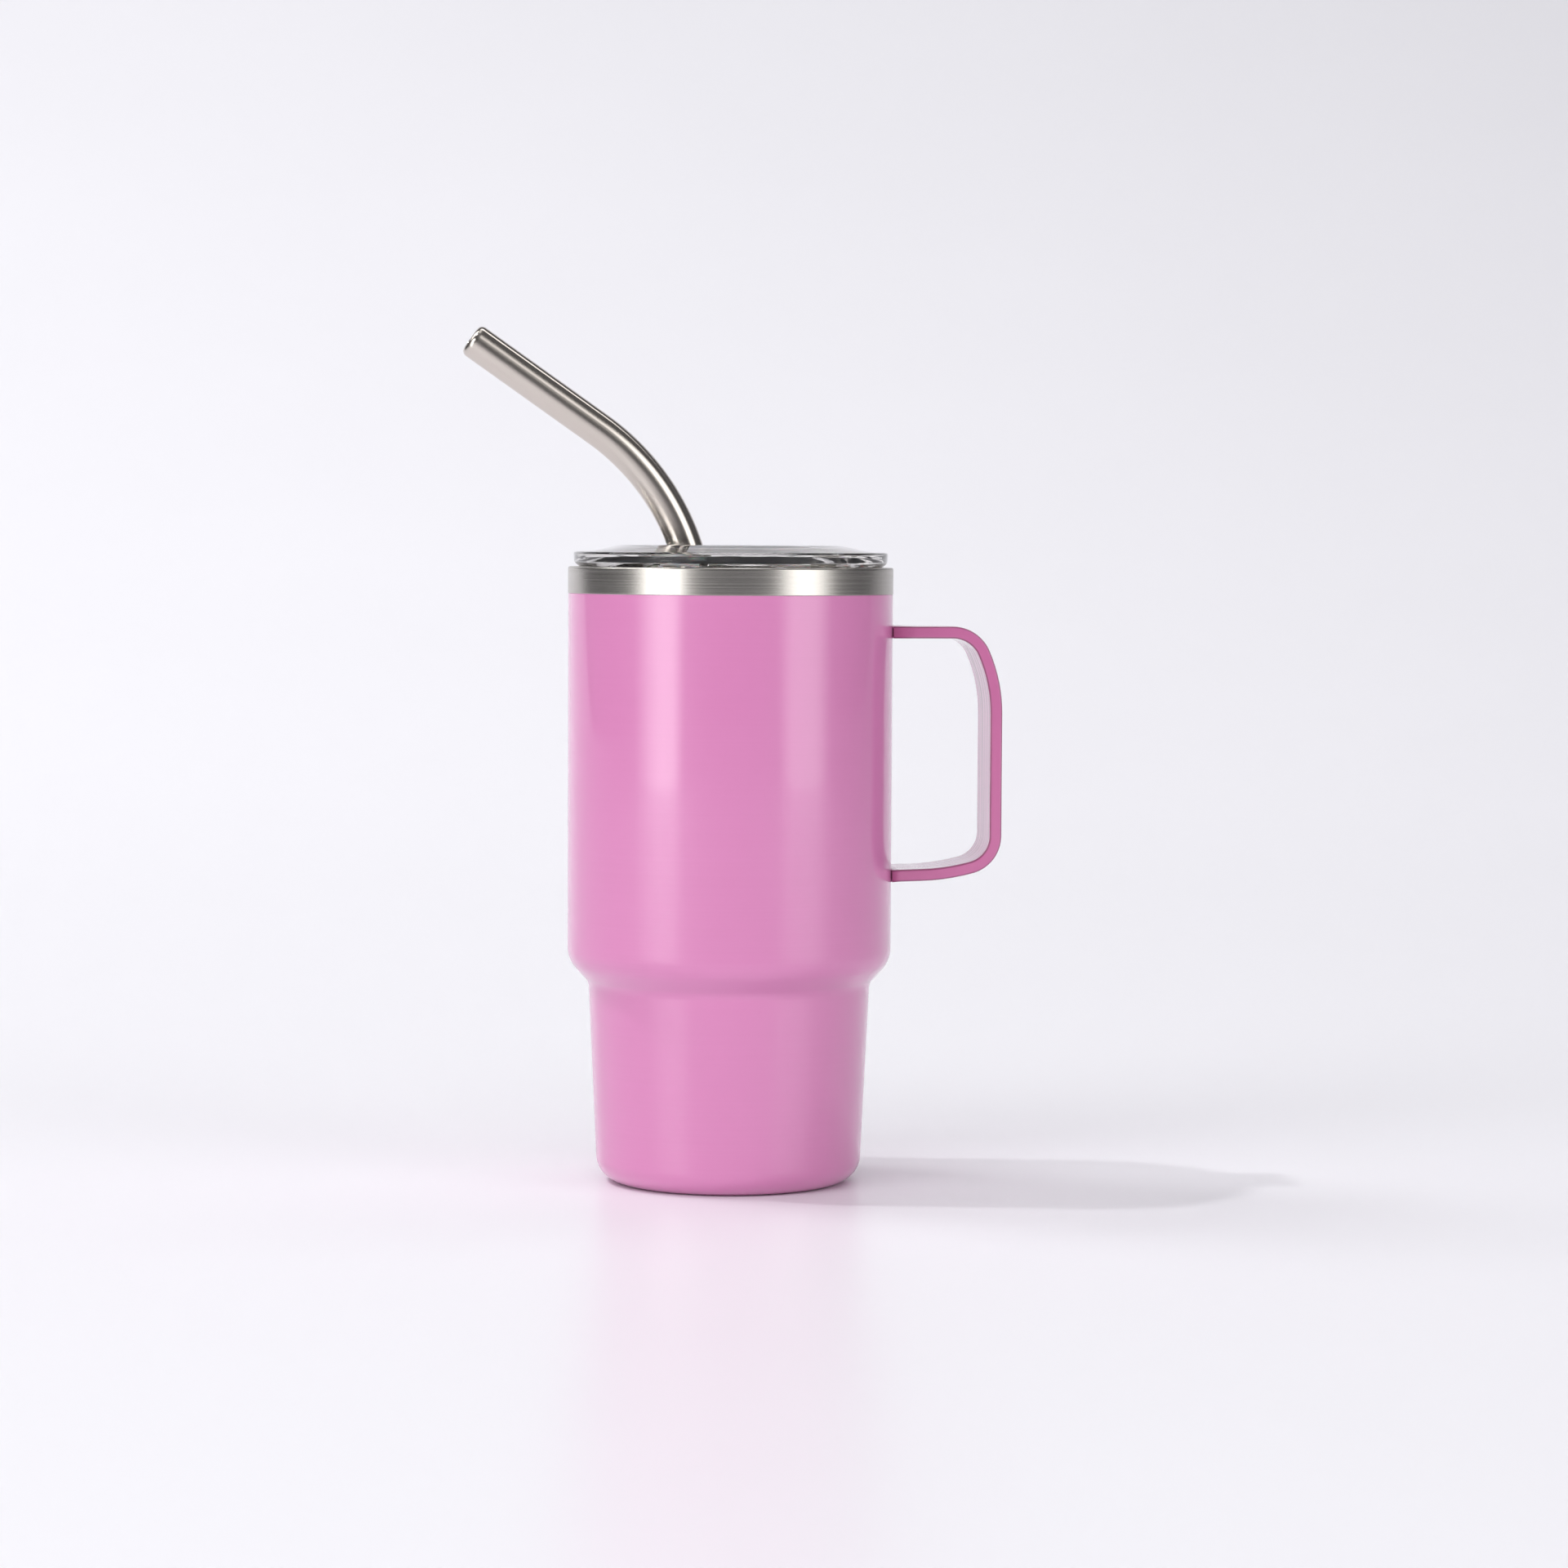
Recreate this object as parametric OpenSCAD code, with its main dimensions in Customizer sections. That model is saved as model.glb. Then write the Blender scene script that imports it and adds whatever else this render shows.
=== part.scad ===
// Insulated tumbler with lid: a double-walled steel cup with a strip handle, a clear press-in
// lid with a sliding closure, and a bent steel straw that stands in a silicone grommet.
// Millimetres. The origin is the centre of the base, on the surface that the cup stands on.
// +Z is up, the handle points along +X and the straw's mouth end along -X.

/* [Cup] */
// Height of the steel rim above the table
cup_h = 144; // [140:0.5:150]
// Outer radius of the upper body
body_r = 38; // [37.8:0.1:38.4]
// Height of the bare steel band at the mouth
band_h = 6.2; // [4:0.2:9]
// Height at which the narrow lower cup ends and the shoulder begins
neck_z = 45.4; // [42:0.2:48]
// Outer radius of the lower cup at the neck
neck_r = 33; // [32.6:0.1:33.4]
// Outer radius of the lower cup where its side would meet the table
foot_r = 30.9; // [30.5:0.1:31.4]
// Slope of the shoulder's cone, from vertical
shoulder_angle = 42; // [38:1:48]
// Rounding where the shoulder meets the upper body
shoulder_r = 7.2; // [5:0.2:8]
// Rounding where the neck meets the shoulder
neck_fillet = 3.7; // [3:0.1:5]
// Rounding at the foot of the cup
foot_round = 6; // [5:0.2:7]

/* [Walls] */
// Sheet thickness of the steel shell and of the liner
wall_t = 0.7; // [0.6:0.05:0.8]
// Width of the evacuated gap between shell and liner
gap_t = 2; // [1.8:0.1:2.2]
// Height of the liner's floor above the table, underside
liner_z = 6; // [5.8:0.1:7]
// Rounding at the liner's floor
liner_round = 5; // [4:0.2:6]
// Thickness of the welded lip at the mouth
lip_t = 1.4; // [1.2:0.1:2]
// Rounding of the lip's two edges
lip_round = 0.5; // [0.3:0.1:0.6]

/* [Base] */
// Inner radius of the ring that the cup stands on
ring_r = 23.4; // [22:0.2:24]
// Height of the base plate's underside above the table
recess_h = 1.7; // [1.5:0.1:2]
// Radius of the dimple around the evacuation port
dimple_r = 4.5; // [3.5:0.1:5]
// Thickness of the glued cover disc
cover_t = 0.5; // [0.3:0.1:0.6]

/* [Handle] */
// Width of the steel strip
strip_w = 18; // [14:0.5:20]
// Thickness of the steel strip
strip_t = 2.8; // [2.2:0.1:3]
// Height of the handle's upper face
handle_top = 130.4; // [125:0.2:132]
// Length of the straight upper arm, from the cup's side
arm_l = 13.3; // [12:0.1:15]
// Length of the straight grip
grip_l = 28.6; // [24:0.2:32]
// Thickness of the weld between strip and shell
weld_t = 0.35; // [0.3:0.05:0.4]

/* [Lid] */
// Radius of the lid's flange
flange_r = 36.8; // [36.4:0.1:37.2]
// Height of the flange's upper face above the rim
flange_h = 3.5; // [3.3:0.1:3.7]
// Height of the flat top above the rim
lid_h = 5.1; // [5:0.1:5.5]
// Radius of the flat top
plateau_r = 25.7; // [25.6:0.1:26.2]
// Depth of the plug below the rim
plug_h = 10; // [9:0.5:12]
// Radius of the plug
plug_r = 33.8; // [33.6:0.1:33.9]
// Thickness of the lid's roof
roof_t = 2.3; // [2.2:0.1:2.5]
// Depth of the tray that the slider runs in
tray_d = 2; // [1.9:0.05:2.1]
// Width of the tray
tray_w = 14.4; // [14:0.1:14.6]

/* [Slider] */
// Length of the slider
slider_l = 17; // [16.4:0.2:17.4]
// Width of the slip-free space on each side of the slider
slider_gap = 0.25; // [0.2:0.05:0.3]
// Number of finger ribs across the slider
rib_count = 5; // [3:1:6]

/* [Straw] */
// Outer diameter of the straw
straw_d = 8; // [7.6:0.1:8]
// Wall thickness of the straw
straw_wall = 0.5; // [0.4:0.05:0.6]
// Length of the straw along its centre line
straw_l = 214; // [205:1:215]
// Lean of the leg from vertical
straw_lean = 13.5; // [13:0.1:13.8]
// Rise of the mouth end above horizontal
mouth_rise = 35; // [25:1:45]
// Radius of the bend, at the centre line
bend_r = 55; // [50:1:60]
// Length of the straight mouth end
mouth_l = 36.2; // [30:0.2:45]
// Rounding of the rolled edge at the mouth end
roll_r = 1.4; // [1:0.1:1.6]

/* [Hidden] */
$fn = 96;
eps = 0.01;
arc_step = 5;
run_gap = 0.05;        // clearance of faces that slide or rest on each other
steel = [0.72, 0.71, 0.69];
pink = [0.85, 0.55, 0.74];
clear = [0.86, 0.88, 0.9, 0.45];
silicone = [0.93, 0.93, 0.94, 0.8];

// The lower cup's side leans out by foot_lean, and arc centres are shared by every wall.
foot_lean = atan((neck_r - foot_r) / neck_z);
neck_c = [neck_r + neck_fillet * cos(foot_lean), neck_z - neck_fillet * sin(foot_lean)];
cone_start = neck_c + neck_fillet * [-cos(shoulder_angle), sin(shoulder_angle)];
cone_end_x = body_r - shoulder_r * (1 - cos(shoulder_angle));
cone_rise = (cone_end_x - cone_start[0]) / tan(shoulder_angle);
shoulder_c = [body_r - shoulder_r, cone_start[1] + cone_rise + shoulder_r * sin(shoulder_angle)];

liner_out = wall_t + gap_t;
liner_in = liner_out + wall_t;
liner_floor = liner_z + wall_t;
bore_r = body_r - liner_in;
paint_z = cup_h - band_h;
skirt_z = 0.2;         // the base plate's skirt stops this far above the table
cover_gap = 0.2;
port_r = 0.8;          // radius of the evacuation port
dimple_h = 1.1;
port_z = recess_h + dimple_h;
bead_r = 2.2;          // the bead that closes the port
bead_h = 0.7;
holder_r = 4;
holder_t = 0.4;
holder_x = 13;
getter_h = 1.3;
foil_t = 0.15;
foil_margin = 8;       // the foil stops this far short of floor and lip

arm_start = 35;        // the strip is drawn from inside the shell and cut back to it
upper_bend = [[9.5, 66], [36.5, 24]];
lower_bend = [[9, 75], [52, 13.5]];
arm_end_l = 10;
arm_drop = 60;         // the lower arm is about this far below the upper one
weld_zone = 30;
weld_inset = 0.4;

flange_edge_t = 2.5;
flange_flat = 3.2;
flange_round = 0.5;
rest_r = 35.4;         // the flange rests on the rim inside this radius
shoulder_soft = 1.5;   // the lid's shoulder eases in and out over this width
plug_t = 2.2;
plug_chamfer = 0.6;
roof_chamfer = 0.8;
groove_z = [-7.5, -4.5];
groove_d = 1.4;
seal_r = bore_r - 0.08;
seal_lip = 0.5;        // depth of the valley between the seal's two lips
seal_land = 0.4;
tray_floor_t = 2.2;
tray_x = [-10.5, 16.5];
tray_wall_t = 1.7;
tray_z = cup_h + lid_h - tray_d;
sip_x = 17.7;
sip_size = [5, 9];
track_h = 0.9;
track_d = 0.9;
track_z = 0.4;
track_start = 6;       // the tracks begin this far from the tray's end
track_play = 0.18;
slider_x = 14.9;       // centre of the closed slider
slider_t = 1.65;
rib_h = 0.25;
rib_w = 0.7;
rib_pitch = 1.8;
thumb_w = 8;           // the hollow that the ribs stand in
thumb_d = 0.4;

straw_r = straw_d / 2;
pivot = [-9.75, 0, cup_h + 2];      // where the straw's leg crosses the lid's tray floor
bend_drop = 2.5;       // the bend starts this far below the pivot, along the leg
bend_angle = 90 - straw_lean - mouth_rise;
bend_l = bend_r * bend_angle * PI / 180;
bend_share = 0.6;      // the bend is drawn from both ends, and the two stretches overlap
leg_l = straw_l - bend_l - mouth_l;
hole_top_r = 6.1;
hole_taper = 15.3;     // slope of the hole's side: more than the straw leans, so the grommet comes out
grommet_gap = 0.1;
grommet_flange_r = 6.6;
grommet_flange_t = 1.2;
grommet_bore_r = straw_r + 0.45;
grommet_bore_l = 20;

// Points on an arc about c, from angle a to angle b.
function arc(c, r, a, b) =
    let (n = max(2, ceil(abs(b - a) / arc_step)))
    [for (i = [0:n]) c + r * [cos(a + (b - a) * i / n), sin(a + (b - a) * i / n)]];

function reversed(points) = [for (i = [len(points) - 1:-1:0]) points[i]];

// The cup's side, moved inwards by inset, from a floor at height floor_z up to the upper body.
function side(inset, floor_z, corner_r) =
    let (z = floor_z + corner_r)
    let (x = foot_r + z * tan(foot_lean) - (inset + corner_r) / cos(foot_lean))
    concat(arc([x, z], corner_r, -90, -foot_lean),
           arc(neck_c, neck_fillet + inset, 180 - foot_lean, 180 - shoulder_angle),
           arc(shoulder_c, shoulder_r - inset, -shoulder_angle, 0));

// One face of a strip that follows steps from a point, at inset from its outer face: [length] is a
// straight stretch and [radius, angle] a bend to the right.
function trace(steps, inset, at, heading = 0, i = 0) =
    let (right = [sin(heading), -cos(heading)])
    i == len(steps) ? [at + inset * right]
    : len(steps[i]) == 1
    ? concat([at + inset * right],
             trace(steps, inset, at + steps[i][0] * [cos(heading), sin(heading)], heading, i + 1))
    : let (r = steps[i][0])
      let (turned = heading - steps[i][1])
      let (c = at + r * right)
      let (bend = arc(c, r - inset, heading + 90, turned + 90))
      concat([for (k = [0:len(bend) - 2]) bend[k]],
             trace(steps, inset, c - r * [sin(turned), -cos(turned)], turned, i + 1));

// A slot with round ends between two points on the X axis.
module slot(x, width) {
    for (end = x) translate([end, 0]) circle(d = width);
    translate([x[0], -width / 2]) square([x[1] - x[0], width]);
}

module outer_shell() {
    outside = concat([[ring_r, 0]], side(0, 0, foot_round), [[body_r, paint_z]]);
    inside = concat([[ring_r, wall_t]], side(wall_t, wall_t, foot_round - wall_t),
                    [[body_r - wall_t, paint_z]]);
    color(pink) rotate_extrude() polygon(concat(outside, reversed(inside)));
}

// The liner's wall, its welded lip and the turned-down collar that is the bare steel band.
module inner_liner() {
    outside = side(liner_out, liner_z, liner_round);
    inside = side(liner_in, liner_floor, liner_round - wall_t);
    lip_z = cup_h - lip_t;
    lip = concat([[body_r - liner_out, lip_z], [body_r - wall_t, lip_z],
                  [body_r - wall_t, paint_z], [body_r, paint_z]],
                 arc([body_r - lip_round, cup_h - lip_round], lip_round, 0, 90),
                 arc([bore_r + lip_round, cup_h - lip_round], lip_round, 90, 180));
    color(steel) rotate_extrude() polygon(concat(outside, lip, reversed(inside)));
}

module liner_bottom() {
    weld_r = side(liner_out, liner_z, liner_round)[0][0];
    color(steel) translate([0, 0, liner_z]) cylinder(r = weld_r, h = wall_t);
}

// Aluminium foil wrapped around the liner inside the vacuum.
module foil_wrap() {
    top = cup_h - foil_margin - lip_t;
    inner = side(liner_out, liner_z, liner_round);
    outer = side(liner_out - foil_t, liner_z - foil_t, liner_round + foil_t);
    skip = floor((90 - foot_lean) / arc_step) + 2;
    color("gainsboro") rotate_extrude()
        polygon(concat([for (i = [skip:len(inner) - 1]) inner[i]],
                       [[inner[len(inner) - 1][0], top], [outer[len(outer) - 1][0], top]],
                       [for (i = [len(outer) - 1:-1:skip]) outer[i]]));
}

// The shell's floor: a shallow dish with a dimple around the evacuation port.
module base_plate() {
    color(steel) rotate_extrude() polygon([
        [ring_r, skirt_z], [ring_r, recess_h + wall_t], [dimple_r + wall_t, recess_h + wall_t],
        [dimple_r, port_z + wall_t], [port_r, port_z + wall_t], [port_r, port_z],
        [dimple_r - wall_t, port_z], [dimple_r, recess_h], [ring_r - wall_t, recess_h],
        [ring_r - wall_t, skirt_z]]);
}

module base_cover() {
    color(steel) translate([0, 0, recess_h - cover_t])
        cylinder(r = ring_r - wall_t - cover_gap, h = cover_t);
}

// The bead that closes the evacuation port.
module vacuum_seal() {
    color("dimgray") {
        translate([0, 0, port_z]) cylinder(r = port_r, h = wall_t);
        translate([0, 0, port_z - bead_h]) cylinder(r = bead_r, h = bead_h);
    }
}

module getter_holder() {
    color(steel) translate([holder_x, 0, recess_h + wall_t]) difference() {
        cylinder(r = holder_r, h = getter_h + holder_t);
        translate([0, 0, holder_t]) cylinder(r = holder_r - holder_t, h = getter_h + 1);
    }
}

module getter() {
    color("darkgray") translate([holder_x, 0, recess_h + wall_t + holder_t])
        cylinder(r = holder_r - holder_t, h = getter_h);
}

// One strip, bent round the hand, from inside the shell and back.
module handle_strip(inset = 0) {
    steps = concat([[body_r - arm_start + arm_l]], upper_bend, [[grip_l]], lower_bend, [[arm_end_l]]);
    start = [arm_start, handle_top];
    rotate([90, 0, 0]) linear_extrude(strip_w - 2 * inset, center = true)
        polygon(concat(trace(steps, inset, start), reversed(trace(steps, strip_t - inset, start))));
}

module handle() {
    color(pink) difference() {
        handle_strip();
        cylinder(r = body_r + weld_t, h = cup_h);
    }
}

// The weld metal between one end of the strip and the shell.
module handle_weld(arm_z) {
    color(pink) difference() {
        intersection() {
            handle_strip(weld_inset);
            translate([0, 0, arm_z - weld_zone / 2]) cylinder(r = body_r + weld_t, h = weld_zone);
        }
        cylinder(r = body_r, h = cup_h);
    }
}

module handle_weld_upper() { handle_weld(handle_top); }
module handle_weld_lower() { handle_weld(handle_top - arm_drop); }

// The lid's turned shape, before the tray and the openings are cut.
module lid_blank() {
    shoulder_end = flange_r - flange_flat;
    ease = shoulder_soft * [1, (lid_h - flange_h) / (shoulder_end - plateau_r) / 2];
    plug_in = plug_r - plug_t;
    under = flange_h - roof_t;
    outside = concat(
        [[plug_r - plug_chamfer, -plug_h], [plug_r, -plug_h + plug_chamfer], [plug_r, groove_z[0]],
         [plug_r - groove_d, groove_z[0]], [plug_r - groove_d, groove_z[1]], [plug_r, groove_z[1]],
         [plug_r, run_gap], [rest_r, run_gap]],
        arc([flange_r - flange_round, flange_h - flange_edge_t + flange_round], flange_round, -60, 0),
        arc([flange_r - flange_round, flange_h - flange_round], flange_round, 0, 90),
        [[shoulder_end, flange_h], [shoulder_end - ease[0], flange_h + ease[1]],
         [plateau_r + ease[0], lid_h - ease[1]], [plateau_r, lid_h], [0, lid_h]]);
    inside = [[plug_in, -plug_h], [plug_in, under - roof_chamfer], [plug_in - roof_chamfer, under],
              [plateau_r, lid_h - roof_t], [0, lid_h - roof_t]];
    translate([0, 0, cup_h]) rotate_extrude() polygon(concat(outside, reversed(inside)));
}

// A cone about the straw hole's axis between two heights above the tray's floor. It follows the
// hole's side at a distance of gap.
module hole_cone(low, high, gap = 0) {
    translate([pivot[0], 0, tray_z + low])
        cylinder(r1 = hole_top_r - gap + low * tan(hole_taper),
                 r2 = hole_top_r - gap + high * tan(hole_taper), h = high - low);
}

module lid_body() {
    color(clear) difference() {
        union() {
            lid_blank();
            translate([0, 0, tray_z - tray_floor_t])
                linear_extrude(roof_t - tray_d + tray_floor_t - eps)
                    slot(tray_x, tray_w + 2 * tray_wall_t);
        }
        translate([0, 0, tray_z]) linear_extrude(tray_d + 1) slot(tray_x, tray_w);
        // tracks that hold the slider down
        translate([tray_x[0] + track_start, -tray_w / 2 - track_d, tray_z + track_z])
            cube([tray_x[1] - tray_x[0] - track_start, tray_w + 2 * track_d, track_h]);
        // sip opening
        translate([sip_x - sip_size[0] / 2, -sip_size[1] / 2, tray_z - tray_floor_t - 1])
            cube([sip_size[0], sip_size[1], tray_floor_t + 2]);
        hole_cone(-tray_floor_t - 1, 0.5);
    }
}

module lid_seal() {
    z = groove_z + run_gap * [1, -1];
    r = plug_r - groove_d + run_gap;
    mid = (z[0] + z[1]) / 2;
    valley = seal_r - seal_lip;
    color(silicone) translate([0, 0, cup_h]) rotate_extrude() polygon([
        [r, z[0]], [valley, z[0]], [seal_r, z[0] + seal_land], [seal_r, z[0] + 2 * seal_land],
        [valley, mid], [seal_r, z[1] - 2 * seal_land], [seal_r, z[1] - seal_land], [valley, z[1]],
        [r, z[1]]]);
}

module slider() {
    half = slider_l / 2 - tray_w / 2 + slider_gap;
    width = tray_w - 2 * slider_gap;
    z = tray_z + run_gap;
    thumb_z = z + slider_t - thumb_d;
    color(clear) {
        difference() {
            translate([slider_x, 0, z]) linear_extrude(slider_t)
                slot([-half, half], width);
            translate([slider_x - rib_pitch * rib_count / 2, -thumb_w / 2, thumb_z])
                cube([rib_pitch * rib_count, thumb_w, 1]);
        }
        for (i = [0:rib_count - 1])
            translate([slider_x + (i - (rib_count - 1) / 2) * rib_pitch - rib_w / 2,
                       -thumb_w / 2, thumb_z])
                cube([rib_w, thumb_w, thumb_d + rib_h]);
        translate([slider_x - half + track_play, -tray_w / 2 - track_d + track_play,
                   tray_z + track_z + track_play])
            cube([2 * (half - track_play), tray_w + 2 * (track_d - track_play),
                  track_h - 2 * track_play]);
    }
}

// Puts its children in the frame of the straw's leg: the origin at the pivot, +Z up the leg.
module on_leg() {
    translate(pivot) rotate([0, -straw_lean, 0]) children();
}

module straw_grommet() {
    color(silicone) difference() {
        union() {
            translate([pivot[0], 0, tray_z + run_gap])
                cylinder(r = grommet_flange_r, h = grommet_flange_t);
            hole_cone(-tray_floor_t, run_gap + eps, grommet_gap);
        }
        on_leg() cylinder(r = grommet_bore_r, h = grommet_bore_l, center = true);
    }
}

module straw_section() {
    difference() {
        circle(r = straw_r);
        circle(r = straw_r - straw_wall);
    }
}

// The rolled edge of the mouth end, along +Z.
module straw_roll() {
    c = [straw_r - roll_r, 0];
    rotate_extrude() polygon(concat(arc(c, roll_r, 0, 90), arc(c, roll_r - straw_wall, 90, 0)));
}

// A little over half of the bend, from the leg's end, about the bend's centre.
module half_bend() {
    rotate([90, 0, 0]) rotate_extrude(angle = bend_share * bend_angle)
        translate([bend_r, 0]) straw_section();
}

module straw() {
    color(steel) on_leg() translate([-bend_r, 0, -bend_drop]) {
        half_bend();
        translate([bend_r, 0, -leg_l]) linear_extrude(leg_l) straw_section();
        rotate([0, -bend_angle, 0]) {
            mirror([0, 0, 1]) half_bend();
            translate([bend_r, 0, 0]) linear_extrude(mouth_l - roll_r) straw_section();
            translate([bend_r, 0, mouth_l - roll_r]) straw_roll();
        }
    }
}

outer_shell();
inner_liner();
liner_bottom();
foil_wrap();
base_plate();
base_cover();
vacuum_seal();
getter_holder();
getter();
handle();
handle_weld_upper();
handle_weld_lower();
lid_body();
lid_seal();
slider();
straw_grommet();
straw();
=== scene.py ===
"""Looks of the insulated tumbler with lid: a painted steel shell with a strip handle, a bare
steel band, a clear lid with its slider, and a bent steel straw. The object's sizes are in
millimetres until a mesh is made, and meshes, lights and the stage are in metres. Z is up, and the
handle points along +X."""

import math

import bmesh
import bpy
import numpy as np
from mathutils import Matrix, Vector


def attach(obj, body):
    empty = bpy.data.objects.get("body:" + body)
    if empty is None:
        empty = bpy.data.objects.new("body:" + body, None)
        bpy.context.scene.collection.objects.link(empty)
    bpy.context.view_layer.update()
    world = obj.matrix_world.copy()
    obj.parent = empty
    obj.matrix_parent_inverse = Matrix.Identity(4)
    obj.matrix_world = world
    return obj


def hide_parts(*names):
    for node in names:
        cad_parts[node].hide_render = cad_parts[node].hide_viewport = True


MM = 0.001

# Sizes that the CAD model fixes.
CUP_H = 144.0
BODY_R = 38.0
PAINT_Z = 137.8
BORE_R = 34.6
LID_Z = 149.1
WALL = 0.7
LINER_MIDDLE_R = BORE_R + WALL / 2
FOOT = (30.9, 0.0)          # where the lower cup's side would meet the table
NECK = (33.06, 46.72)       # where the lower cup's side would meet the shoulder's cone
SHOULDER = (38.0, 52.21)    # where the shoulder's cone would meet the upper body
RING_R = 23.4
RECESS_Z = 1.7
HANDLE_TOP = 130.4
LOWER_ARM_TOP = 73.7
STRIP_W = 18.0
STRIP_T = 2.8
WELD_T = 0.35
STRAW_R = 4.0
STRAW_WALL = 0.5
STRAW_LEAN = math.radians(13.5)
STRAW_BEND_R = 55.0
STRAW_RISE = math.radians(35)       # the mouth end's slope
STRAW_BEND = math.radians(90) - STRAW_LEAN - STRAW_RISE
STRAW_LENGTH = 214.0
STRAW_MOUTH = 36.2
STRAW_LEG = STRAW_LENGTH - STRAW_MOUTH - STRAW_BEND_R * STRAW_BEND
STRAW_ROLL = 1.4
BEND_DROP = 2.5
PIVOT = Vector((-9.75, 0, 146))
TRAY_X = (-10.5, 16.5)
TRAY_Z = 147.1
TRAY_R = 7.2
TRAY_FLOOR = 2.2
TRACK_PLAY = 0.18
SLIDER_X = 14.9             # the middle of the closed slider
HOLE_R = 6.1                # the straw hole's radius at the tray's floor
HOLE_TAPER = math.tan(math.radians(15.3))
PLUG_R = 33.8
GROOVE_R = 32.4             # the groove in the lid's plug, which holds the seal
GROOVE_Z = (CUP_H - 7.5, CUP_H - 4.5)

# How metallic the liner's inside is drawn. See scatter_inside.
INSIDE_METALLIC = 0.55

# The camera and the studio, in a frame where the camera looks along +Y.
HANDLE_YAW = math.radians(7.3)      # the handle points this far away from the camera
CAMERA_SPOT = Vector((12.7, -1000, 151.1)) * MM
CAMERA_PITCH = math.radians(3.31)
CAMERA_ROLL = math.radians(0.3)
LENS = 98.1
SENSOR = 36.0
STUDIO = Matrix.Rotation(-HANDLE_YAW, 4, "Z")


def on_circle(azimuth, distance, height):
    """A spot round the cup. The azimuth is from the camera's side, positive to the right."""
    angle = math.radians(azimuth)
    return (distance * math.sin(angle), -distance * math.cos(angle), height)


# Soft boxes: spot, target, size, radiance, and the shares of the width over which the light fades
# out at its right and left sides, as seen from the cup. The sun is the small high key.
SUN_STRENGTH = 0.64
SUN_FROM = Vector((-0.507, 0.03, 0.862))
SUN_WIDTH = math.radians(2.5)
ROOM_COLOUR = (0.95, 0.94, 1.0, 1.0)
ROOM_STRENGTH = 0.1
BEYOND_STAGE = 0.84         # how light the room looks past the edges of the stage
MIDDLE = (0, 0, 0.1)
BOXES = {
    "left": (on_circle(-50.5, 1.45, 0.55), MIDDLE, (1.25, 1.2), 4.4, (0.6, 0.3)),
    "right": (on_circle(55, 1.45, 0.55), MIDDLE, (1.35, 1.2), 2.5, (0.32, 0.4)),
    "upper_front": (on_circle(-5, 1.6, 1.5), MIDDLE, (1.6, 0.8), 3.1, None),
    "top": ((0, 0, 2.0), MIDDLE, (0.9, 0.9), 1.0, None),
    "back_left": ((-1.6, 0.8, 1.9), (-0.8, 2.4, 0.2), (1.6, 1.0), 6.1, None),
    "back_right": ((0.6, 0.8, 1.9), (0.3, 2.4, 0.2), (1.5, 1.0), 2.3, None),
}


# ---------------------------------------------------------------- outlines

def rounded(corners, step=7.0, closed=True):
    """The outline through corners (a, b, radius), each rounded to its radius by short chords. A
    point just before and after each arc keeps the shading of flat faces flat."""
    out = []
    count = len(corners)
    for i, corner in enumerate(corners):
        here = Vector(corner[:2])
        radius = corner[2] if len(corner) > 2 else 0
        if radius <= 0 or (not closed and i in (0, count - 1)):
            out.append(here)
            continue
        before = here - Vector(corners[i - 1][:2])
        after = Vector(corners[(i + 1) % count][:2]) - here
        room = [before.length, after.length]
        before.normalize()
        after.normalize()
        turn = before.angle_signed(after)
        reach = radius * math.tan(abs(turn) / 2)
        lead = [min(0.15 * radius + 0.05, 0.3 * max(r - reach, 0)) for r in room]
        side = Vector((before.y, -before.x)) * (1 if turn > 0 else -1)
        start = here - before * reach
        centre = start + side * radius
        chords = max(3, math.ceil(math.degrees(abs(turn)) / step))
        out.append(start - before * lead[0])
        for k in range(chords + 1):
            spoke = (start - centre).copy()
            spoke.rotate(Matrix.Rotation(-turn * k / chords, 2))
            out.append(centre + spoke)
        out.append(here + after * (reach + lead[1]))
    return [(p.x, p.y) for p in out]


def stadium(x, radius, height, segments=24):
    """A ring round two points on the X axis, at one height."""
    ring = []
    for centre, start in ((x[1], -90), (x[0], 90)):
        for k in range(segments + 1):
            angle = math.radians(start + 180 * k / segments)
            ring.append((centre + radius * math.cos(angle), radius * math.sin(angle), height))
    return ring


def on_cylinder(radius, y):
    """How far out a cylinder about the Z axis is at this y."""
    return math.sqrt(radius ** 2 - y ** 2)


# ---------------------------------------------------------------- meshes

def mesh_object(name, points, faces):
    """An object with smooth shading and outward normals, from points in millimetres."""
    mesh = bpy.data.meshes.new(name)
    mesh.from_pydata([Vector(p) * MM for p in points], [], faces)
    work = bmesh.new()
    work.from_mesh(mesh)
    bmesh.ops.remove_doubles(work, verts=work.verts, dist=1e-7)
    bmesh.ops.recalc_face_normals(work, faces=work.faces)
    work.to_mesh(mesh)
    work.free()
    mesh.shade_smooth()
    thing = bpy.data.objects.new(name, mesh)
    bpy.context.scene.collection.objects.link(thing)
    return thing


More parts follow.
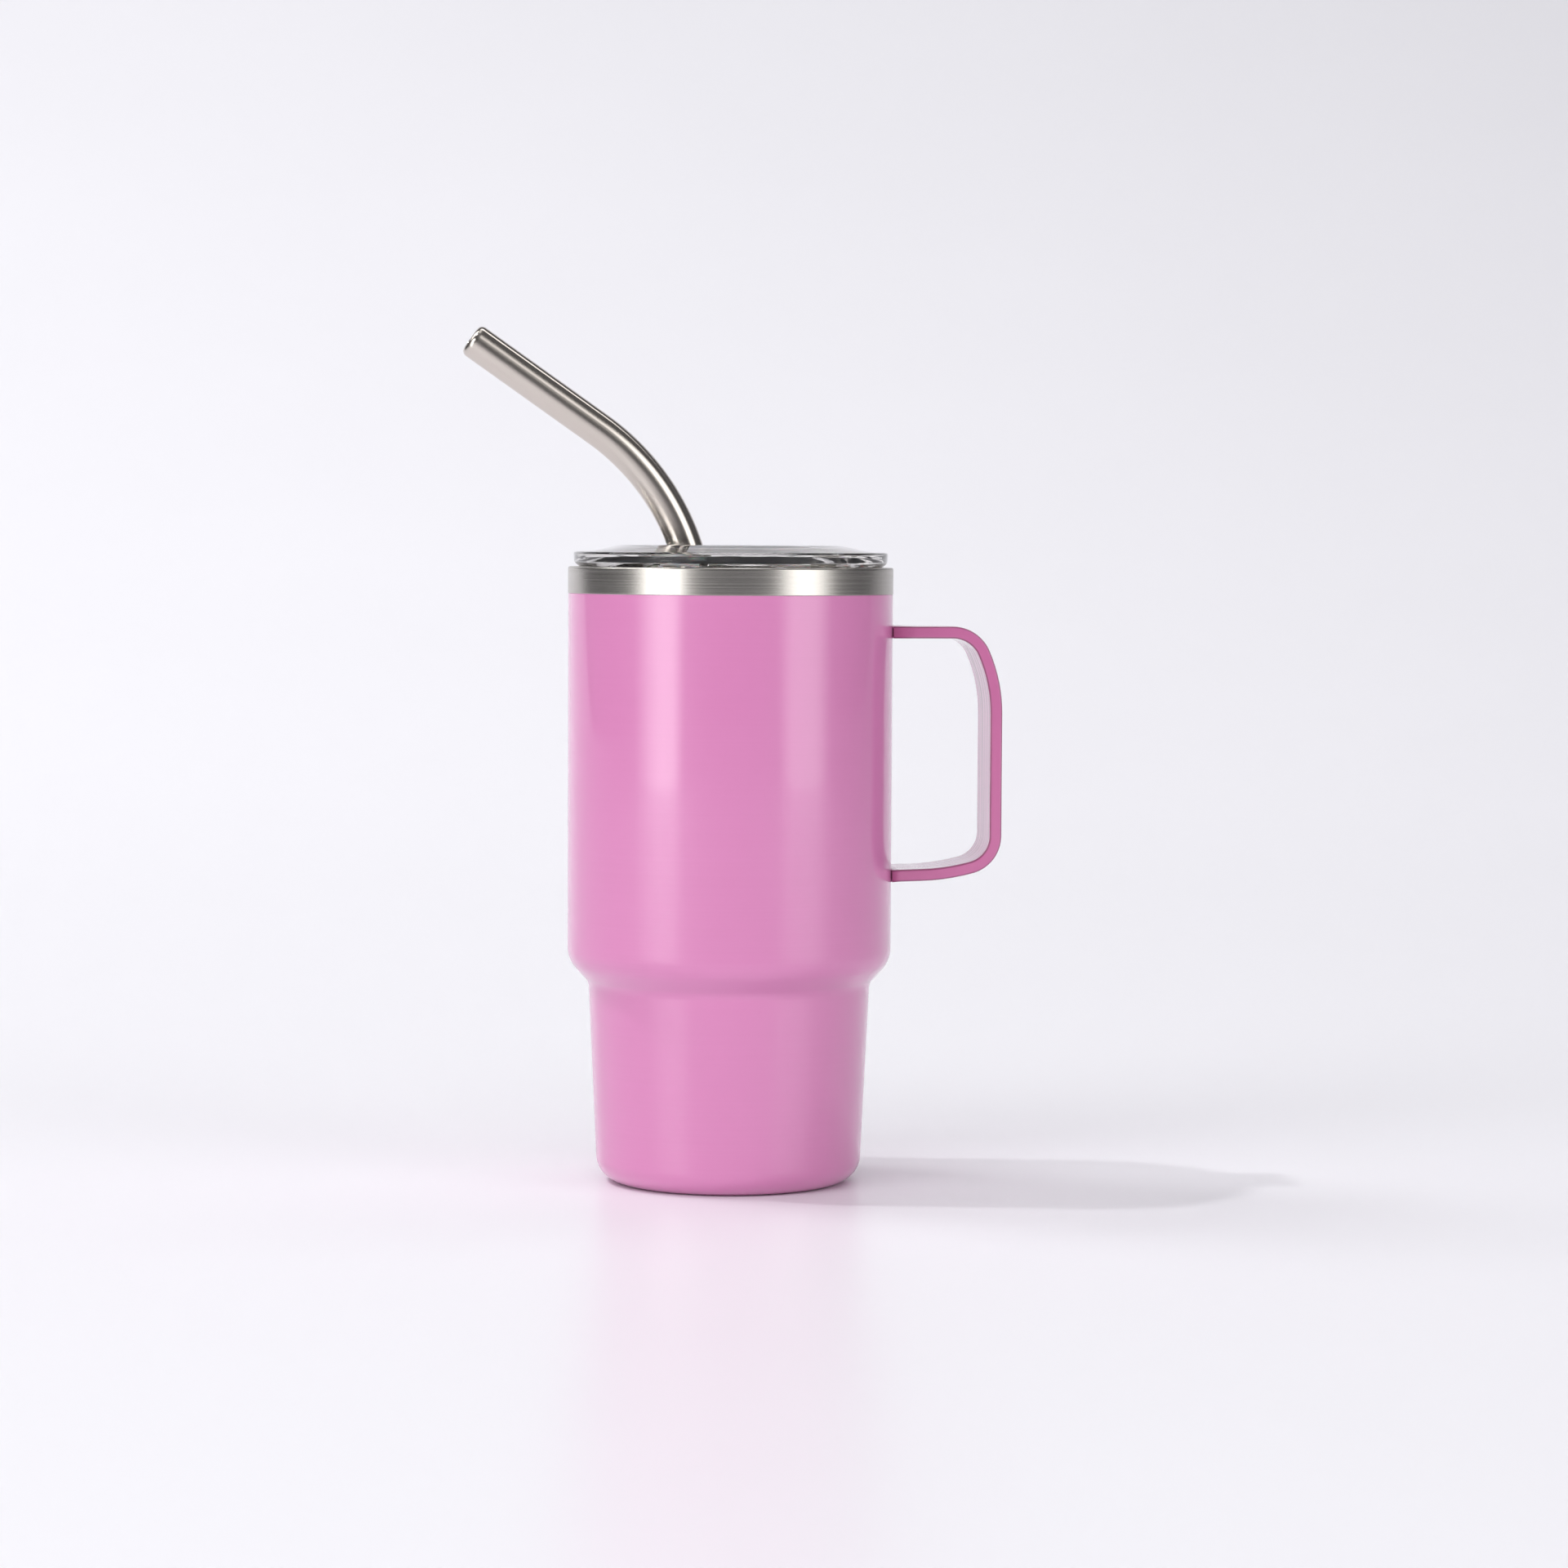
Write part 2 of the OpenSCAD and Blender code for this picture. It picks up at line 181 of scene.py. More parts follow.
def skin(rings, closed_along=False):
    """Points and faces of a surface through rings that hold one point or the same number each. It
    is capped at both ends, unless the last ring joins the first."""
    points = []
    starts = []
    for ring in rings:
        starts.append(len(points))
        points.extend(ring)
    faces = []
    pairs = list(range(len(rings) - 1)) + ([len(rings) - 1] if closed_along else [])
    for i in pairs:
        j = (i + 1) % len(rings)
        size = max(len(rings[i]), len(rings[j]))
        for k in range(size):
            m = (k + 1) % size
            quad = [starts[i] + (k if len(rings[i]) > 1 else 0),
                    starts[i] + (m if len(rings[i]) > 1 else 0),
                    starts[j] + (m if len(rings[j]) > 1 else 0),
                    starts[j] + (k if len(rings[j]) > 1 else 0)]
            face = list(dict.fromkeys(quad))
            if len(face) > 2:
                faces.append(face)
    if not closed_along:
        for i in (0, len(rings) - 1):
            if len(rings[i]) > 2:
                faces.append([starts[i] + k for k in range(len(rings[i]))])
    return points, faces


def full_circle(count):
    """Equally spaced angles all the way round."""
    return [2 * math.pi * k / count for k in range(count)]


def lathe(name, profile, segments=192):
    """Turns a profile of (radius, height) about the Z axis. The profile closes on itself, or starts
    and ends on the axis."""
    rings = []
    for radius, height in profile:
        if radius == 0:
            rings.append([(0, 0, height)])
        else:
            rings.append([(radius * math.cos(a), radius * math.sin(a), height)
                          for a in full_circle(segments)])
    on_axis = profile[0][0] == 0 and profile[-1][0] == 0
    return mesh_object(name, *skin(rings, closed_along=not on_axis))


def stadium_solid(name, x, sections):
    """A solid through rings round two points on the X axis, each of (radius, height)."""
    return mesh_object(name, *skin([stadium(x, radius, height) for radius, height in sections]))


def block(name, x, half_width, heights):
    """A box from x[0] to x[1], equally wide on both sides of the X axis, between two heights."""
    corners = [(x[0], -half_width), (x[1], -half_width), (x[1], half_width), (x[0], half_width)]
    return mesh_object(name, *skin([[(*corner, height) for corner in corners]
                                    for height in heights]))


def cut(thing, *operations):
    """Applies booleans to a mesh object: pairs of ("DIFFERENCE" or "UNION", tool). The tools go."""
    for operation, tool in operations:
        modifier = thing.modifiers.new(operation, "BOOLEAN")
        modifier.operation = operation
        modifier.solver = "EXACT"
        modifier.object = tool
    bake(thing)
    for _, tool in operations:
        bpy.data.objects.remove(tool)


def bake(thing):
    """Replaces the mesh by what its modifiers make of it."""
    seen = thing.evaluated_get(bpy.context.evaluated_depsgraph_get())
    mesh = bpy.data.meshes.new_from_object(seen)
    thing.modifiers.clear()
    thing.data = mesh


def crisp(thing, angle=32):
    """Keeps edges sharper than angle, and shades the rest by the larger faces."""
    thing.data.shade_smooth()
    thing.data.set_sharp_from_angle(angle=math.radians(angle))
    modifier = thing.modifiers.new("normals", "WEIGHTED_NORMAL")
    modifier.keep_sharp = True
    bake(thing)


def remember(thing, name, vectors, scale=MM):
    """Stores a vector at each vertex. "straight" is where it would be if the part were straight,
    for grain that follows a bend, and "along" is the part's direction there."""
    attribute = thing.data.attributes.new(name, "FLOAT_VECTOR", "POINT")
    for vertex, vector in zip(thing.data.vertices, vectors):
        attribute.data[vertex.index].vector = Vector(vector) * scale


def place_piece(thing, body, material, node):
    """Gives an object its material and its body, and hides the CAD part that it stands in for."""
    thing.data.materials.clear()
    thing.data.materials.append(material)
    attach(thing, body)
    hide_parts(node)


# ---------------------------------------------------------------- materials

def add_node(tree, kind, inputs=None, **settings):
    """A shader node with its settings and inputs: a socket is linked and anything else is set."""
    node = tree.nodes.new("ShaderNode" + kind)
    for key, value in settings.items():
        setattr(node, key, value)
    for key, value in (inputs or {}).items():
        if isinstance(value, bpy.types.NodeSocket):
            tree.links.new(value, node.inputs[key])
        else:
            node.inputs[key].default_value = value
    return node


def new_material(name, **constants):
    """A Principled material with its constant inputs, its node tree and its shader node."""
    material = bpy.data.materials.new(name)
    material.use_nodes = True
    tree = material.node_tree
    shader = tree.nodes["Principled BSDF"]
    for key, value in constants.items():
        shader.inputs[key.replace("_", " ")].default_value = value
    return material, tree, shader


def linear(red, green, blue):
    """A colour given in sRGB from 0 to 255, as scene-linear RGBA."""
    values = [c / 255 for c in (red, green, blue)]
    return tuple(c / 12.92 if c <= 0.04045 else ((c + 0.055) / 1.055) ** 2.4
                 for c in values) + (1.0,)


def coordinates(tree, straight):
    """Object coordinates, or the straightened ones of a bent part."""
    if straight:
        return add_node(tree, "Attribute", attribute_name="straight").outputs["Vector"]
    return add_node(tree, "TexCoord").outputs["Object"]


def streaks(tree, where, scale, detail=3.0):
    """Noise that is stretched by a different scale along each axis."""
    stretched = add_node(tree, "Mapping", {"Vector": where, "Scale": scale})
    return add_node(tree, "TexNoise", {"Vector": stretched.outputs["Vector"], "Scale": 1.0,
                                       "Detail": detail, "Roughness": 0.6}).outputs["Fac"]


def mapped(tree, value, low, high):
    """A value brought to the range from low to high. Its ends are 0.25 and 0.75, because noise
    mostly stays between them."""
    return add_node(tree, "MapRange", {"Value": value, "From Min": 0.25, "From Max": 0.75,
                                       "To Min": low, "To Max": high}).outputs["Result"]


def mixed(tree, factor, first, second):
    """A colour between first and second. The Mix node's colours are inputs 6 and 7 and output 2."""
    mix = add_node(tree, "Mix", data_type="RGBA")
    tree.links.new(factor, mix.inputs["Factor"])
    for socket, value in ((mix.inputs[6], first), (mix.inputs[7], second)):
        if isinstance(value, bpy.types.NodeSocket):
            tree.links.new(value, socket)
        else:
            socket.default_value = value
    return mix.outputs[2]


def compute(tree, operation, first, second=0.0):
    """The result of a Math node on two sockets or numbers."""
    return add_node(tree, "Math", {0: first, 1: second}, operation=operation).outputs["Value"]


def specks(tree, where, spacing, size):
    """1 on sparse tiny dots, about spacing metres apart and size metres wide, and 0 elsewhere."""
    cells = add_node(tree, "TexVoronoi", {"Vector": where, "Scale": 1 / spacing})
    near = compute(tree, "LESS_THAN", cells.outputs["Distance"], size / spacing / 2)
    parts = add_node(tree, "SeparateColor", {"Color": cells.outputs["Color"]})
    kept = compute(tree, "LESS_THAN", parts.outputs["Red"], 0.4)
    return compute(tree, "MULTIPLY", near, kept)


def strip_streaks_and_painted_shade(tree, where, colour, lines):
    """Painted shade: the strip's cut sides are darker, darkest at their corners. Its inner face is
    streaky.
    """
    place = add_node(tree, "SeparateXYZ", {"Vector": where})
    across = compute(tree, "ABSOLUTE", place.outputs["Y"])
    depth = place.outputs["Z"]
    # painted shade: the cut sides are drawn darker, and darkest near their corners
    side = compute(tree, "GREATER_THAN", across, (STRIP_W / 2 - 0.4) * MM)
    off_middle = compute(tree, "ABSOLUTE", compute(tree, "SUBTRACT", depth, STRIP_T / 2 * MM))
    corner = compute(tree, "GREATER_THAN", off_middle, (STRIP_T / 2 - 0.35) * MM)
    inner = compute(tree, "GREATER_THAN", depth, (STRIP_T - 0.1) * MM)
    streak = add_node(tree, "MapRange", {"Value": lines, "From Min": 0.44, "From Max": 0.62})
    worn = compute(tree, "MULTIPLY", streak.outputs["Result"], inner)
    colour = mixed(tree, worn, colour, linear(132, 80, 118))
    # painted shade on the cut sides, and darker still at their corners
    colour = mixed(tree, side, colour, linear(198, 108, 158))
    return mixed(tree, compute(tree, "MULTIPLY", side, corner), colour, linear(156, 80, 120))


def paint_material(name, grain, straight=False):
    """Gloss pink paint over brushed steel. grain stretches the noise along the brush marks."""
    material, tree, shader = new_material(
        name, IOR=1.5, Specular_IOR_Level=0.5, Coat_Weight=1.0, Coat_Roughness=0.03, Coat_IOR=1.5)
    where = coordinates(tree, straight)
    lines = streaks(tree, where, grain)
    blotch = streaks(tree, where, (40, 40, 40))
    base = mixed(tree, blotch, linear(209, 126, 177), linear(213, 130, 181))
    colour = mixed(tree, lines, base, linear(214, 131, 183))
    if straight:
        # on the strip, painted shade darkens the cut sides and their corners
        colour = strip_streaks_and_painted_shade(tree, where, colour, lines)
    dust = specks(tree, add_node(tree, "TexCoord").outputs["Object"], 0.014, 0.0004)
    tree.links.new(mixed(tree, dust, colour, linear(120, 70, 96)), shader.inputs["Base Color"])
    tree.links.new(mapped(tree, lines, 0.33, 0.38), shader.inputs["Roughness"])
    bump = add_node(tree, "Bump", {"Height": lines, "Strength": 0.04, "Distance": 0.00002})
    tree.links.new(bump.outputs["Normal"], shader.inputs["Normal"])
    return material


def crevice_shade_material(name):
    """Painted shade: the crevice between strip and shell is drawn dark and uneven, for its shadow."""
    material, tree, shader = new_material(name, IOR=1.5)
    cloud = streaks(tree, coordinates(tree, False), (900, 900, 900))
    # painted shade of the crevice between strip and shell
    tree.links.new(mixed(tree, cloud, linear(96, 44, 68), linear(132, 66, 98)),
                   shader.inputs["Base Color"])
    tree.links.new(mapped(tree, cloud, 0.5, 0.7), shader.inputs["Roughness"])
    return material


def scatter_inside(tree, shader, radius, metallic):
    """Makes steel nearer to the axis than radius less metallic. The walls of a deep steel cup light
    each other by many reflections, more than are traced, and the scattered light stands in for them."""
    level = add_node(tree, "VectorMath", {0: add_node(tree, "TexCoord").outputs["Object"],
                                          1: (1, 1, 0)}, operation="MULTIPLY")
    away = add_node(tree, "VectorMath", {0: level.outputs["Vector"]}, operation="LENGTH")
    outside = compute(tree, "GREATER_THAN", away.outputs["Value"], radius * MM)
    tree.links.new(mapped(tree, outside, metallic, 1.0), shader.inputs["Metallic"])


def steel_material(name, grain, roughness, tint, straight=False, anisotropic=0.0, bump=0.12,
                   scatter=None):
    """Brushed stainless steel. scatter is a radius and the metallic share inside it."""
    material, tree, shader = new_material(name, Metallic=1.0, Anisotropic=anisotropic)
    where = coordinates(tree, straight)
    lines = streaks(tree, where, grain, 4.0)
    cloud = streaks(tree, where, (60, 60, 60))
    light = linear(*[c + 10 for c in tint])
    dark = linear(*[c - 10 for c in tint])
    base = mixed(tree, lines, dark, light)
    tree.links.new(mixed(tree, cloud, base, linear(*tint)), shader.inputs["Base Color"])
    tree.links.new(mapped(tree, lines, roughness * 0.85, roughness * 1.2),
                   shader.inputs["Roughness"])
    relief = add_node(tree, "Bump", {"Height": lines, "Strength": bump, "Distance": 0.00002})
    tree.links.new(relief.outputs["Normal"], shader.inputs["Normal"])
    if scatter:
        scatter_inside(tree, shader, *scatter)
    if anisotropic and straight:
        along = add_node(tree, "Attribute", attribute_name="along").outputs["Vector"]
        turned = add_node(tree, "VectorTransform", {"Vector": along}, vector_type="VECTOR",
                          convert_from="OBJECT", convert_to="WORLD")
        tree.links.new(turned.outputs["Vector"], shader.inputs["Tangent"])
    elif anisotropic:
        tangent = add_node(tree, "Tangent", direction_type="RADIAL", axis="Z")
        tree.links.new(tangent.outputs["Tangent"], shader.inputs["Tangent"])
    return material


def plastic_material(name, tint):
    """Clear moulded plastic, with the faint waviness of its faces. Lamps shine through it."""
    material, tree, shader = new_material(name, IOR=1.26, Transmission_Weight=1.0,
                                          Coat_Weight=0.7, Coat_Roughness=0.03)
    where = coordinates(tree, False)
    wave = streaks(tree, where, (55, 55, 400), 2.0)
    tree.links.new(mixed(tree, wave, linear(*tint), linear(*[min(255, c + 4) for c in tint])),
                   shader.inputs["Base Color"])
    tree.links.new(mapped(tree, wave, 0.01, 0.03), shader.inputs["Roughness"])
    relief = add_node(tree, "Bump", {"Height": wave, "Strength": 0.45, "Distance": 0.0003})
    tree.links.new(relief.outputs["Normal"], shader.inputs["Normal"])
    lamps = add_node(tree, "LightPath").outputs["Is Shadow Ray"]
    open_glass = add_node(tree, "BsdfTransparent", {"Color": linear(240, 241, 242)})
    mix = add_node(tree, "MixShader", {0: lamps, 1: shader.outputs["BSDF"],
                                       2: open_glass.outputs["BSDF"]})
    tree.links.new(mix.outputs["Shader"], tree.nodes["Material Output"].inputs["Surface"])
    return material


def silicone_material(name):
    """Milky silicone rubber, which lets some light through."""
    material, tree, shader = new_material(name, IOR=1.41, Transmission_Weight=0.35,
                                          Subsurface_Weight=0.4, Subsurface_Scale=0.002)
    where = coordinates(tree, False)
    cloud = streaks(tree, where, (300, 300, 300))
    tree.links.new(mixed(tree, cloud, linear(228, 228, 230), linear(238, 238, 240)),
                   shader.inputs["Base Color"])
    tree.links.new(mapped(tree, cloud, 0.4, 0.55), shader.inputs["Roughness"])
    return material


def studio_material(name):
    """The pale floor and backdrop, with a faint gloss."""
    material, tree, shader = new_material(name, IOR=1.3)
    where = coordinates(tree, False)
    cloud = streaks(tree, where, (3, 3, 3))
    tree.links.new(mixed(tree, cloud, linear(240, 239, 244), linear(243, 242, 247)),
                   shader.inputs["Base Color"])
    tree.links.new(mapped(tree, cloud, 0.3, 0.34), shader.inputs["Roughness"])
    return material


# ---------------------------------------------------------------- pieces

def make_shell(material):
    """The painted outer wall, from the standing ring up to the band."""
    rise = 0.27     # how much higher the shoulder's two corners are on the inside
    profile = rounded([
        (RING_R, 0, 0.15), (*FOOT, 6.0), (*NECK, 3.7), (*SHOULDER, 7.2), (BODY_R, PAINT_Z, 0.12),
        (BODY_R - WALL, PAINT_Z, 0.1), (SHOULDER[0] - WALL, SHOULDER[1] + rise, 6.5),
        (NECK[0] - WALL, NECK[1] + rise, 4.4), (FOOT[0] - WALL, WALL, 5.3), (RING_R, WALL, 0.1)],
        step=3.0)
    shell = lathe("painted_shell", profile, segments=256)
    place_piece(shell, "cup", material, "outer_shell")


def make_liner(material):
    """The inner wall, its lip, and the collar outside that is the bare steel band."""
    outer = 2.7             # from the cup's outer surface in to the liner's outer and inner faces
    inner = outer + WALL
    outer_rise = 1.03       # how much higher the shoulder's two corners are on those faces
    inner_rise = 1.3
    floor = 6.0
    disc_r = 21.0           # the welded bottom disc starts here
    taper = 0.3             # how much wider the lower cup is at the floor's height
    lip = CUP_H - 1.4       # the underside of the lip
    profile = rounded([
        (BODY_R - WALL, PAINT_Z, 0.1), (BODY_R, PAINT_Z, 0.14), (BODY_R, CUP_H, 0.5),
        (BORE_R, CUP_H, 0.5), (SHOULDER[0] - inner, SHOULDER[1] + inner_rise, 3.8),
        (NECK[0] - inner, NECK[1] + inner_rise, 7.1),
        (FOOT[0] - inner + taper, floor + WALL, 4.3), (disc_r, floor + WALL, 0),
        (disc_r, floor, 0), (FOOT[0] - outer + taper, floor, 5.0),
        (NECK[0] - outer, NECK[1] + outer_rise, 6.4),
        (SHOULDER[0] - outer, SHOULDER[1] + outer_rise, 4.5),
        (BODY_R - outer, lip, 0.2), (BODY_R - WALL, lip, 0.2)], step=4.0)
    liner = lathe("steel_liner", profile, segments=256)
    place_piece(liner, "cup", material, "inner_liner")


STRIP_START = (35, HANDLE_TOP)
STRIP_STEPS = [(16.3,), (9.5, 66), (36.5, 24), (28.6,), (9, 75), (52, 13.5), (10,)]


def walk_strip(steps, at, stride=3.0, lead=0.25):
    """Stations (point, direction into the strip, length so far) along the strip's outer face.
    A step is (length,) or (radius, degrees) for a bend to the right."""
    heading = 0.0
    gone = 0.0
    stations = []
    for step in steps:
        right = Vector((math.sin(heading), -math.cos(heading)))
        forward = Vector((math.cos(heading), math.sin(heading)))
        if len(step) == 1:
            for part in (0, lead, step[0] / 2, step[0] - lead):
                stations.append((at + forward * part, right, gone + part))
            at = at + forward * step[0]
            gone += step[0]
            continue
        radius, degrees = step
        centre = at + right * radius
        count = math.ceil(degrees / stride)
        for k in range(count):
            angle = heading - math.radians(degrees) * k / count
            inward = Vector((math.sin(angle), -math.cos(angle)))
            stations.append((centre - inward * radius, inward,
                             gone + radius * math.radians(degrees) * k / count))
        heading -= math.radians(degrees)
        gone += radius * math.radians(degrees)
        at = centre - Vector((math.sin(heading), -math.cos(heading))) * radius
    right = Vector((math.sin(heading), -math.cos(heading)))
    stations.append((at, right, gone))
    return stations


def make_handle(material):
    """The bent strip. Its two ends follow the shell, a weld's thickness away from it."""
    edge = 0.45
    half = STRIP_W / 2
    section = rounded([(0, -half, edge), (STRIP_T, -half, edge), (STRIP_T, half, edge),
                       (0, half, edge)], step=15)
    end_r = BODY_R + WELD_T
    stations = walk_strip(STRIP_STEPS, Vector(STRIP_START))
    rings = []
    straight = []
    for i, (point, inward, gone) in enumerate(stations):
        at_end = i in (0, len(stations) - 1)
        ring = []
        for depth, y in section:
            spot = point + inward * depth
            ring.append((on_cylinder(end_r, y) if at_end else spot.x, y, spot.y))
        if at_end or min(p[0] for p in ring) >= end_r + 0.2:
            rings.append(ring)
            straight += [(gone, y, depth) for depth, y in section]
    handle = mesh_object("strip_handle", *skin(rings))
    remember(handle, "straight", straight)
    place_piece(handle, "cup", material, "handle")


def make_weld(name, node, material, top):
    """The narrow bead between one end of the strip and the shell."""
    half = STRIP_W / 2
    rings = []
    for radius, inset in ((-0.3, 0.3), (0.05, 0.34), (0.17, 0.5), (0.3, 0.34), (0.6, 0.3)):
        section = rounded([(inset, inset - half, 0.3), (STRIP_T - inset, inset - half, 0.3),
                           (STRIP_T - inset, half - inset, 0.3), (inset, half - inset, 0.3)],
                          step=15)
        rings.append([(on_cylinder(BODY_R + radius, y), y, top - depth) for depth, y in section])
    weld = mesh_object(name, *skin(rings))
    place_piece(weld, "cup", material, node)


def make_lid(material):
    """The plug with its groove, the flange, and the raised top with its tray and openings."""
    z = CUP_H
    plug_inner_r = 31.6
    flat_r = 25.7       # where the flat top ends, before its edge is rounded
    roof = 2.3
    blank = lathe("clear_lid", rounded([
        (plug_inner_r, z - 10, 0.5), (PLUG_R, z - 10, 0.6), (PLUG_R, GROOVE_Z[0], 0.15),
        (GROOVE_R, GROOVE_Z[0], 0.2), (GROOVE_R, GROOVE_Z[1], 0.2), (PLUG_R, GROOVE_Z[1], 0.15),
        (PLUG_R, z + 0.05, 0.3), (35.4, z + 0.05, 0.2), (36.6, z + 1.0, 0.5),
        (36.8, z + 3.5, 0.6), (33.6, z + 3.5, 2.0), (flat_r, LID_Z, 8.0), (0, LID_Z),
        (0, LID_Z - roof), (flat_r, LID_Z - roof, 4.0), (30.8, z + 1.2, 1.0),
        (plug_inner_r, z + 0.4, 0.4)], step=6), segments=256)
    under = TRAY_Z - TRAY_FLOOR
    boss = stadium_solid("boss", TRAY_X, [
        (TRAY_R + 1.3, under), (TRAY_R + 1.7, under + 0.4), (TRAY_R + 1.7, LID_Z - 1.6)])
    tray = stadium_solid("tray", TRAY_X, [
        (TRAY_R - 0.5, TRAY_Z), (TRAY_R - 0.15, TRAY_Z + 0.15), (TRAY_R, TRAY_Z + 0.5),
        (TRAY_R, LID_Z - 0.45), (TRAY_R + 0.06, LID_Z - 0.22), (TRAY_R + 0.22, LID_Z - 0.06),
        (TRAY_R + 0.45, LID_Z), (TRAY_R + 0.45, LID_Z + 1)])
    tracks = block("tracks", (TRAY_X[0] + 6, TRAY_X[1]), TRAY_R + 0.9, (TRAY_Z + 0.4, TRAY_Z + 1.3))
    sip = block("sip", (15.2, 20.2), 4.5, (under - 1, TRAY_Z + 0.5))
    hole = mesh_object("hole", *skin([
        [(PIVOT.x + (HOLE_R + h * HOLE_TAPER) * math.cos(a),
          (HOLE_R + h * HOLE_TAPER) * math.sin(a), TRAY_Z + h) for a in full_circle(96)]
        for h in (-TRAY_FLOOR - 1, 0.5)]))
    cut(blank, ("UNION", boss), ("DIFFERENCE", tray), ("DIFFERENCE", tracks),
        ("DIFFERENCE", sip), ("DIFFERENCE", hole))
    crisp(blank)
    place_piece(blank, "lid", material, "lid_body")


def make_slider(material):
    """The closure: a plate with a ribbed hollow for a finger and a tongue that runs in the tracks."""
    half = 1.55
    middles = (SLIDER_X - half, SLIDER_X + half)
    radius = 6.95
    low = TRAY_Z + 0.05
    high = low + 1.65
    plate = stadium_solid("sip_slider", middles, [
        (radius - 0.2, low), (radius, low + 0.2), (radius, high - 0.35), (radius - 0.1, high - 0.1),
        (radius - 0.35, high)])
    rib_reach = 4
    rib_pitch = 1.8
    rib_half = 0.35
    rib_top = high + 0.25
    hollow = block("hollow", (SLIDER_X - 4.5, SLIDER_X + 4.5), rib_reach, (high - 0.4, high + 1))
    tools = [("DIFFERENCE", hollow)]
    for i in range(-2, 3):
        x = SLIDER_X + i * rib_pitch
        outline = rounded([(x - rib_half, high - 0.6), (x + rib_half, high - 0.6),
                           (x + rib_half, rib_top, 0.3), (x - rib_half, rib_top, 0.3)], step=20)
        rib = mesh_object("rib", *skin([[(px, y, pz) for px, pz in outline]
                                        for y in (-rib_reach, rib_reach)]))
        tools.append(("UNION", rib))
    tongue = block("tongue", (middles[0] + TRACK_PLAY, middles[1] - TRACK_PLAY), TRAY_R + 0.72,
                   (TRAY_Z + 0.58, TRAY_Z + 1.12))
    tools.append(("UNION", tongue))
    cut(plate, *tools)
    crisp(plate)
    place_piece(plate, "slider", material, "slider")


def make_seal(material):
    """The ring in the plug's groove, with two lips."""
    low = GROOVE_Z[0] + 0.05
    high = GROOVE_Z[1] - 0.05
    inner_r = GROOVE_R + 0.05
    lip_r = BORE_R - 0.08
    profile = rounded([
        (inner_r, low, 0.2), (lip_r - 0.5, low, 0.2), (lip_r, low + 0.6, 0.25),
        (lip_r - 0.5, CUP_H - 6.0, 0.2), (lip_r, high - 0.6, 0.25), (lip_r - 0.5, high, 0.2),
        (inner_r, high, 0.2)], step=15)
    seal = lathe("lid_gasket", profile)
    place_piece(seal, "seal", material, "lid_seal")


def make_grommet(material):
    """A tapered bush with a flange, whose bore leans with the straw."""
    base = TRAY_Z - TRAY_FLOOR
    top = TRAY_Z + 1.25
    cone_r = HOLE_R - 0.1
    flange_r = 6.6
    bore_r = 4.45
    outer = rounded([(cone_r - TRAY_FLOOR * HOLE_TAPER, base, 0.3), (cone_r, TRAY_Z + 0.05, 0.0),
                     (flange_r, TRAY_Z + 0.05, 0.15), (flange_r, top, 0.45),
                     (bore_r + 0.1, top, 0.0)], step=15, closed=False)
    rings = [[(PIVOT.x + radius * math.cos(a), radius * math.sin(a), height)
              for a in full_circle(96)] for radius, height in outer]
    for height in (top - 0.15, base + 0.1):
        middle = PIVOT.x - (height - PIVOT.z) * math.tan(STRAW_LEAN)
        rings.append([(middle + bore_r / math.cos(STRAW_LEAN) * math.cos(a),
                       bore_r * math.sin(a), height) for a in full_circle(96)])
    grommet = mesh_object("straw_bush", *skin(rings, closed_along=True))
    crisp(grommet, 40)
    place_piece(grommet, "grommet", material, "straw_grommet")


def straw_frame(gone):
    """The centre, the tangent and the inner normal of the straw at a length from the leg's end."""
    up = Vector((-math.sin(STRAW_LEAN), 0, math.cos(STRAW_LEAN)))
    left = Vector((-math.cos(STRAW_LEAN), 0, -math.sin(STRAW_LEAN)))
    start = PIVOT - up * BEND_DROP
    before = gone - STRAW_LEG
    if before <= 0:
        return start + up * before, up, left
    centre = start + left * STRAW_BEND_R
    angle = min(before / STRAW_BEND_R, STRAW_BEND)
    along = up * math.cos(angle) + left * math.sin(angle)
    normal = left * math.cos(angle) - up * math.sin(angle)
    rest = max(before - STRAW_BEND_R * STRAW_BEND, 0)
    return centre - normal * STRAW_BEND_R + along * rest, along, normal


def make_straw(material):
    """The tube, turned round its bent line from a profile of (radius, length from the leg's end):
    outside, rolled mouth edge, inside."""
    edge = 0.15
    inner = STRAW_R - STRAW_WALL
    bend = [STRAW_LEG + STRAW_BEND_R * STRAW_BEND * k / 32 for k in range(33)]
    runs = [edge] + bend + [STRAW_LENGTH - STRAW_ROLL - 0.3]
    roll_middle = (STRAW_R - STRAW_ROLL, STRAW_LENGTH - STRAW_ROLL)
    roll, curl = [[(roll_middle[0] + radius * math.cos(a), roll_middle[1] + radius * math.sin(a))
                   for a in np.linspace(*sweep)]
                  for radius, sweep in ((STRAW_ROLL, (0, math.pi / 2, 9)),
                                        (STRAW_ROLL - STRAW_WALL, (math.pi / 2, 0, 7)))]
    profile = ([(inner + edge, 0), (STRAW_R - edge, 0)] + [(STRAW_R, s) for s in runs] + roll + curl
               + [(inner, s) for s in reversed(runs)])
    rings = []
    straight = []
    directions = []
    for radius, gone in profile:
        centre, along, normal = straw_frame(gone)
        ring = []
        for angle in full_circle(64):
            side = normal * math.cos(angle) + Vector((0, 1, 0)) * math.sin(angle)
            ring.append(centre + side * radius)
            straight.append((radius * math.cos(angle), radius * math.sin(angle), gone))
            directions.append(along)
        rings.append(ring)
    straw = mesh_object("steel_straw", *skin(rings, closed_along=True))
    remember(straw, "straight", straight)
    remember(straw, "along", directions, 1.0)
    place_piece(straw, "straw", material, "straw")


